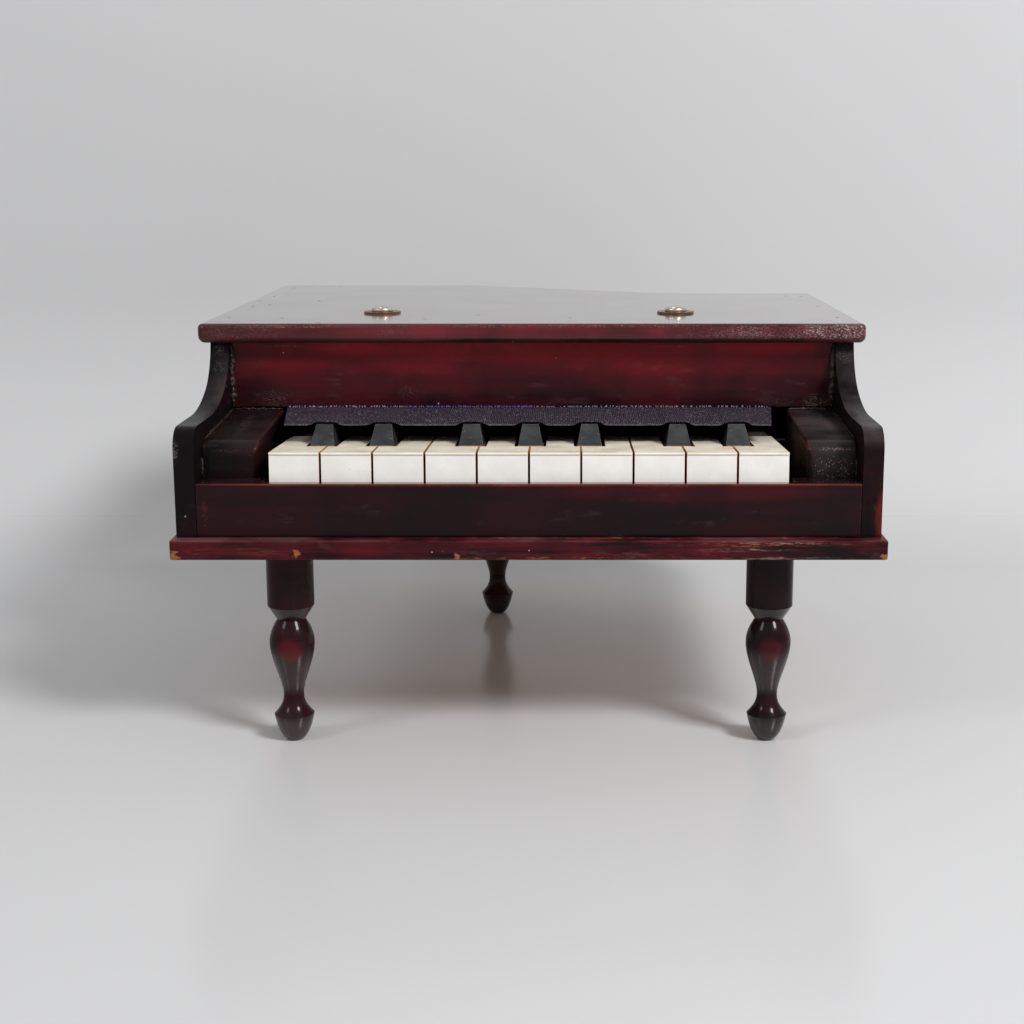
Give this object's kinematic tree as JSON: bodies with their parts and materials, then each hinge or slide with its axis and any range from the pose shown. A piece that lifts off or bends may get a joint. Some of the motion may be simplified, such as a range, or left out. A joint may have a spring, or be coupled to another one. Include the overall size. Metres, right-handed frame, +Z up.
{
  "type": "toy piano",
  "caption": "Wooden toy grand piano on turned legs, with hinged keys that swing hammers up to steel tone plates under a fixed lid.",
  "frame": {"origin": "centre of the bounding box on the floor under the feet", "axes": "+X to the player's right, +Y from the keys to the tail, +Z up"},
  "size_m": [0.3082, 0.3314, 0.1805],
  "materials": {
    "lacquered_wood": "worn dark red lacquer",
    "bare_wood": "bare wood",
    "white_key": "cream covered wood",
    "black_key": "satin black paint",
    "cloth": "faded ribbed cloth",
    "felt": "felt",
    "steel": "plain steel",
    "brass": "dull plated brass"
  },
  "bodies": {
    "case": {"base_board": "lacquered_wood", "left_front_leg": "lacquered_wood", "right_front_leg": "lacquered_wood", "back_leg": "lacquered_wood", "left_side_panel": "lacquered_wood", "right_side_panel": "lacquered_wood", "bent_rim": "lacquered_wood", "lid": "lacquered_wood", "front_rail": "lacquered_wood", "left_key_block": "lacquered_wood", "right_key_block": "lacquered_wood", "fallboard": "lacquered_wood", "balance_rail": "bare_wood", "back_rail": "bare_wood", "front_plate_rail": "bare_wood", "back_plate_rail": "bare_wood", "key_cloth": "cloth", "front_felt": "felt", "back_felt": "felt", "plate_felts": "felt", "balance_wire": "steel", "hammer_wire": "steel", "tone_plates": "steel", "plate_pins": "steel", "lid_pins": "steel", "eyelets": "brass"},
    "white_key_c1_body": {"white_key_c1": "white_key"},
    "hammer_c1_body": {"hammer_c1": "bare_wood"},
    "black_key_cs1_body": {"black_key_cs1": "black_key"},
    "hammer_cs1_body": {"hammer_cs1": "bare_wood"},
    "white_key_d1_body": {"white_key_d1": "white_key"},
    "hammer_d1_body": {"hammer_d1": "bare_wood"},
    "black_key_ds1_body": {"black_key_ds1": "black_key"},
    "hammer_ds1_body": {"hammer_ds1": "bare_wood"},
    "white_key_e1_body": {"white_key_e1": "white_key"},
    "hammer_e1_body": {"hammer_e1": "bare_wood"},
    "white_key_f1_body": {"white_key_f1": "white_key"},
    "hammer_f1_body": {"hammer_f1": "bare_wood"},
    "black_key_fs1_body": {"black_key_fs1": "black_key"},
    "hammer_fs1_body": {"hammer_fs1": "bare_wood"},
    "white_key_g1_body": {"white_key_g1": "white_key"},
    "hammer_g1_body": {"hammer_g1": "bare_wood"},
    "black_key_gs1_body": {"black_key_gs1": "black_key"},
    "hammer_gs1_body": {"hammer_gs1": "bare_wood"},
    "white_key_a1_body": {"white_key_a1": "white_key"},
    "hammer_a1_body": {"hammer_a1": "bare_wood"},
    "black_key_as1_body": {"black_key_as1": "black_key"},
    "hammer_as1_body": {"hammer_as1": "bare_wood"},
    "white_key_b1_body": {"white_key_b1": "white_key"},
    "hammer_b1_body": {"hammer_b1": "bare_wood"},
    "white_key_c2_body": {"white_key_c2": "white_key"},
    "hammer_c2_body": {"hammer_c2": "bare_wood"},
    "black_key_cs2_body": {"black_key_cs2": "black_key"},
    "hammer_cs2_body": {"hammer_cs2": "bare_wood"},
    "white_key_d2_body": {"white_key_d2": "white_key"},
    "hammer_d2_body": {"hammer_d2": "bare_wood"},
    "black_key_ds2_body": {"black_key_ds2": "black_key"},
    "hammer_ds2_body": {"hammer_ds2": "bare_wood"},
    "white_key_e2_body": {"white_key_e2": "white_key"},
    "hammer_e2_body": {"hammer_e2": "bare_wood"}
  },
  "joints": [
    {"name": "white_key_c1_press", "type": "hinge", "parent": "case", "child": "white_key_c1_body", "pos_m": [0, -0.04, 0.117], "axis": [1, 0, 0], "range_deg": [0, 3.1], "stiffness_Nm_per_rad": 0.02, "springref_deg": -20.05},
    {"name": "hammer_c1_swing", "type": "hinge", "parent": "case", "child": "hammer_c1_body", "pos_m": [0, 0.016, 0.134], "axis": [1, 0, 0], "range_deg": [0, 17]},
    {"name": "black_key_cs1_press", "type": "hinge", "parent": "case", "child": "black_key_cs1_body", "pos_m": [0, -0.04, 0.117], "axis": [1, 0, 0], "range_deg": [0, 3.1], "stiffness_Nm_per_rad": 0.02, "springref_deg": -20.05},
    {"name": "hammer_cs1_swing", "type": "hinge", "parent": "case", "child": "hammer_cs1_body", "pos_m": [0, 0.016, 0.134], "axis": [1, 0, 0], "range_deg": [0, 17]},
    {"name": "white_key_d1_press", "type": "hinge", "parent": "case", "child": "white_key_d1_body", "pos_m": [0, -0.04, 0.117], "axis": [1, 0, 0], "range_deg": [0, 3.1], "stiffness_Nm_per_rad": 0.02, "springref_deg": -20.05},
    {"name": "hammer_d1_swing", "type": "hinge", "parent": "case", "child": "hammer_d1_body", "pos_m": [0, 0.016, 0.134], "axis": [1, 0, 0], "range_deg": [0, 17]},
    {"name": "black_key_ds1_press", "type": "hinge", "parent": "case", "child": "black_key_ds1_body", "pos_m": [0, -0.04, 0.117], "axis": [1, 0, 0], "range_deg": [0, 3.1], "stiffness_Nm_per_rad": 0.02, "springref_deg": -20.05},
    {"name": "hammer_ds1_swing", "type": "hinge", "parent": "case", "child": "hammer_ds1_body", "pos_m": [0, 0.016, 0.134], "axis": [1, 0, 0], "range_deg": [0, 17]},
    {"name": "white_key_e1_press", "type": "hinge", "parent": "case", "child": "white_key_e1_body", "pos_m": [0, -0.04, 0.117], "axis": [1, 0, 0], "range_deg": [0, 3.1], "stiffness_Nm_per_rad": 0.02, "springref_deg": -20.05},
    {"name": "hammer_e1_swing", "type": "hinge", "parent": "case", "child": "hammer_e1_body", "pos_m": [0, 0.016, 0.134], "axis": [1, 0, 0], "range_deg": [0, 17]},
    {"name": "white_key_f1_press", "type": "hinge", "parent": "case", "child": "white_key_f1_body", "pos_m": [0, -0.04, 0.117], "axis": [1, 0, 0], "range_deg": [0, 3.1], "stiffness_Nm_per_rad": 0.02, "springref_deg": -20.05},
    {"name": "hammer_f1_swing", "type": "hinge", "parent": "case", "child": "hammer_f1_body", "pos_m": [0, 0.016, 0.134], "axis": [1, 0, 0], "range_deg": [0, 17]},
    {"name": "black_key_fs1_press", "type": "hinge", "parent": "case", "child": "black_key_fs1_body", "pos_m": [0, -0.04, 0.117], "axis": [1, 0, 0], "range_deg": [0, 3.1], "stiffness_Nm_per_rad": 0.02, "springref_deg": -20.05},
    {"name": "hammer_fs1_swing", "type": "hinge", "parent": "case", "child": "hammer_fs1_body", "pos_m": [0, 0.016, 0.134], "axis": [1, 0, 0], "range_deg": [0, 17]},
    {"name": "white_key_g1_press", "type": "hinge", "parent": "case", "child": "white_key_g1_body", "pos_m": [0, -0.04, 0.117], "axis": [1, 0, 0], "range_deg": [0, 3.1], "stiffness_Nm_per_rad": 0.02, "springref_deg": -20.05},
    {"name": "hammer_g1_swing", "type": "hinge", "parent": "case", "child": "hammer_g1_body", "pos_m": [0, 0.016, 0.134], "axis": [1, 0, 0], "range_deg": [0, 17]},
    {"name": "black_key_gs1_press", "type": "hinge", "parent": "case", "child": "black_key_gs1_body", "pos_m": [0, -0.04, 0.117], "axis": [1, 0, 0], "range_deg": [0, 3.1], "stiffness_Nm_per_rad": 0.02, "springref_deg": -20.05},
    {"name": "hammer_gs1_swing", "type": "hinge", "parent": "case", "child": "hammer_gs1_body", "pos_m": [0, 0.016, 0.134], "axis": [1, 0, 0], "range_deg": [0, 17]},
    {"name": "white_key_a1_press", "type": "hinge", "parent": "case", "child": "white_key_a1_body", "pos_m": [0, -0.04, 0.117], "axis": [1, 0, 0], "range_deg": [0, 3.1], "stiffness_Nm_per_rad": 0.02, "springref_deg": -20.05},
    {"name": "hammer_a1_swing", "type": "hinge", "parent": "case", "child": "hammer_a1_body", "pos_m": [0, 0.016, 0.134], "axis": [1, 0, 0], "range_deg": [0, 17]},
    {"name": "black_key_as1_press", "type": "hinge", "parent": "case", "child": "black_key_as1_body", "pos_m": [0, -0.04, 0.117], "axis": [1, 0, 0], "range_deg": [0, 3.1], "stiffness_Nm_per_rad": 0.02, "springref_deg": -20.05},
    {"name": "hammer_as1_swing", "type": "hinge", "parent": "case", "child": "hammer_as1_body", "pos_m": [0, 0.016, 0.134], "axis": [1, 0, 0], "range_deg": [0, 17]},
    {"name": "white_key_b1_press", "type": "hinge", "parent": "case", "child": "white_key_b1_body", "pos_m": [0, -0.04, 0.117], "axis": [1, 0, 0], "range_deg": [0, 3.1], "stiffness_Nm_per_rad": 0.02, "springref_deg": -20.05},
    {"name": "hammer_b1_swing", "type": "hinge", "parent": "case", "child": "hammer_b1_body", "pos_m": [0, 0.016, 0.134], "axis": [1, 0, 0], "range_deg": [0, 17]},
    {"name": "white_key_c2_press", "type": "hinge", "parent": "case", "child": "white_key_c2_body", "pos_m": [0, -0.04, 0.117], "axis": [1, 0, 0], "range_deg": [0, 3.1], "stiffness_Nm_per_rad": 0.02, "springref_deg": -20.05},
    {"name": "hammer_c2_swing", "type": "hinge", "parent": "case", "child": "hammer_c2_body", "pos_m": [0, 0.016, 0.134], "axis": [1, 0, 0], "range_deg": [0, 17]},
    {"name": "black_key_cs2_press", "type": "hinge", "parent": "case", "child": "black_key_cs2_body", "pos_m": [0, -0.04, 0.117], "axis": [1, 0, 0], "range_deg": [0, 3.1], "stiffness_Nm_per_rad": 0.02, "springref_deg": -20.05},
    {"name": "hammer_cs2_swing", "type": "hinge", "parent": "case", "child": "hammer_cs2_body", "pos_m": [0, 0.016, 0.134], "axis": [1, 0, 0], "range_deg": [0, 17]},
    {"name": "white_key_d2_press", "type": "hinge", "parent": "case", "child": "white_key_d2_body", "pos_m": [0, -0.04, 0.117], "axis": [1, 0, 0], "range_deg": [0, 3.1], "stiffness_Nm_per_rad": 0.02, "springref_deg": -20.05},
    {"name": "hammer_d2_swing", "type": "hinge", "parent": "case", "child": "hammer_d2_body", "pos_m": [0, 0.016, 0.134], "axis": [1, 0, 0], "range_deg": [0, 17]},
    {"name": "black_key_ds2_press", "type": "hinge", "parent": "case", "child": "black_key_ds2_body", "pos_m": [0, -0.04, 0.117], "axis": [1, 0, 0], "range_deg": [0, 3.1], "stiffness_Nm_per_rad": 0.02, "springref_deg": -20.05},
    {"name": "hammer_ds2_swing", "type": "hinge", "parent": "case", "child": "hammer_ds2_body", "pos_m": [0, 0.016, 0.134], "axis": [1, 0, 0], "range_deg": [0, 17]},
    {"name": "white_key_e2_press", "type": "hinge", "parent": "case", "child": "white_key_e2_body", "pos_m": [0, -0.04, 0.117], "axis": [1, 0, 0], "range_deg": [0, 3.1], "stiffness_Nm_per_rad": 0.02, "springref_deg": -20.05},
    {"name": "hammer_e2_swing", "type": "hinge", "parent": "case", "child": "hammer_e2_body", "pos_m": [0, 0.016, 0.134], "axis": [1, 0, 0], "range_deg": [0, 17]}
  ],
  "couplings": [
    {"joint": "hammer_c1_swing", "follows": "white_key_c1_press", "ratio": 5.4},
    {"joint": "hammer_cs1_swing", "follows": "black_key_cs1_press", "ratio": 5.4},
    {"joint": "hammer_d1_swing", "follows": "white_key_d1_press", "ratio": 5.4},
    {"joint": "hammer_ds1_swing", "follows": "black_key_ds1_press", "ratio": 5.4},
    {"joint": "hammer_e1_swing", "follows": "white_key_e1_press", "ratio": 5.4},
    {"joint": "hammer_f1_swing", "follows": "white_key_f1_press", "ratio": 5.4},
    {"joint": "hammer_fs1_swing", "follows": "black_key_fs1_press", "ratio": 5.4},
    {"joint": "hammer_g1_swing", "follows": "white_key_g1_press", "ratio": 5.4},
    {"joint": "hammer_gs1_swing", "follows": "black_key_gs1_press", "ratio": 5.4},
    {"joint": "hammer_a1_swing", "follows": "white_key_a1_press", "ratio": 5.4},
    {"joint": "hammer_as1_swing", "follows": "black_key_as1_press", "ratio": 5.4},
    {"joint": "hammer_b1_swing", "follows": "white_key_b1_press", "ratio": 5.4},
    {"joint": "hammer_c2_swing", "follows": "white_key_c2_press", "ratio": 5.4},
    {"joint": "hammer_cs2_swing", "follows": "black_key_cs2_press", "ratio": 5.4},
    {"joint": "hammer_d2_swing", "follows": "white_key_d2_press", "ratio": 5.4},
    {"joint": "hammer_ds2_swing", "follows": "black_key_ds2_press", "ratio": 5.4},
    {"joint": "hammer_e2_swing", "follows": "white_key_e2_press", "ratio": 5.4}
  ]
}
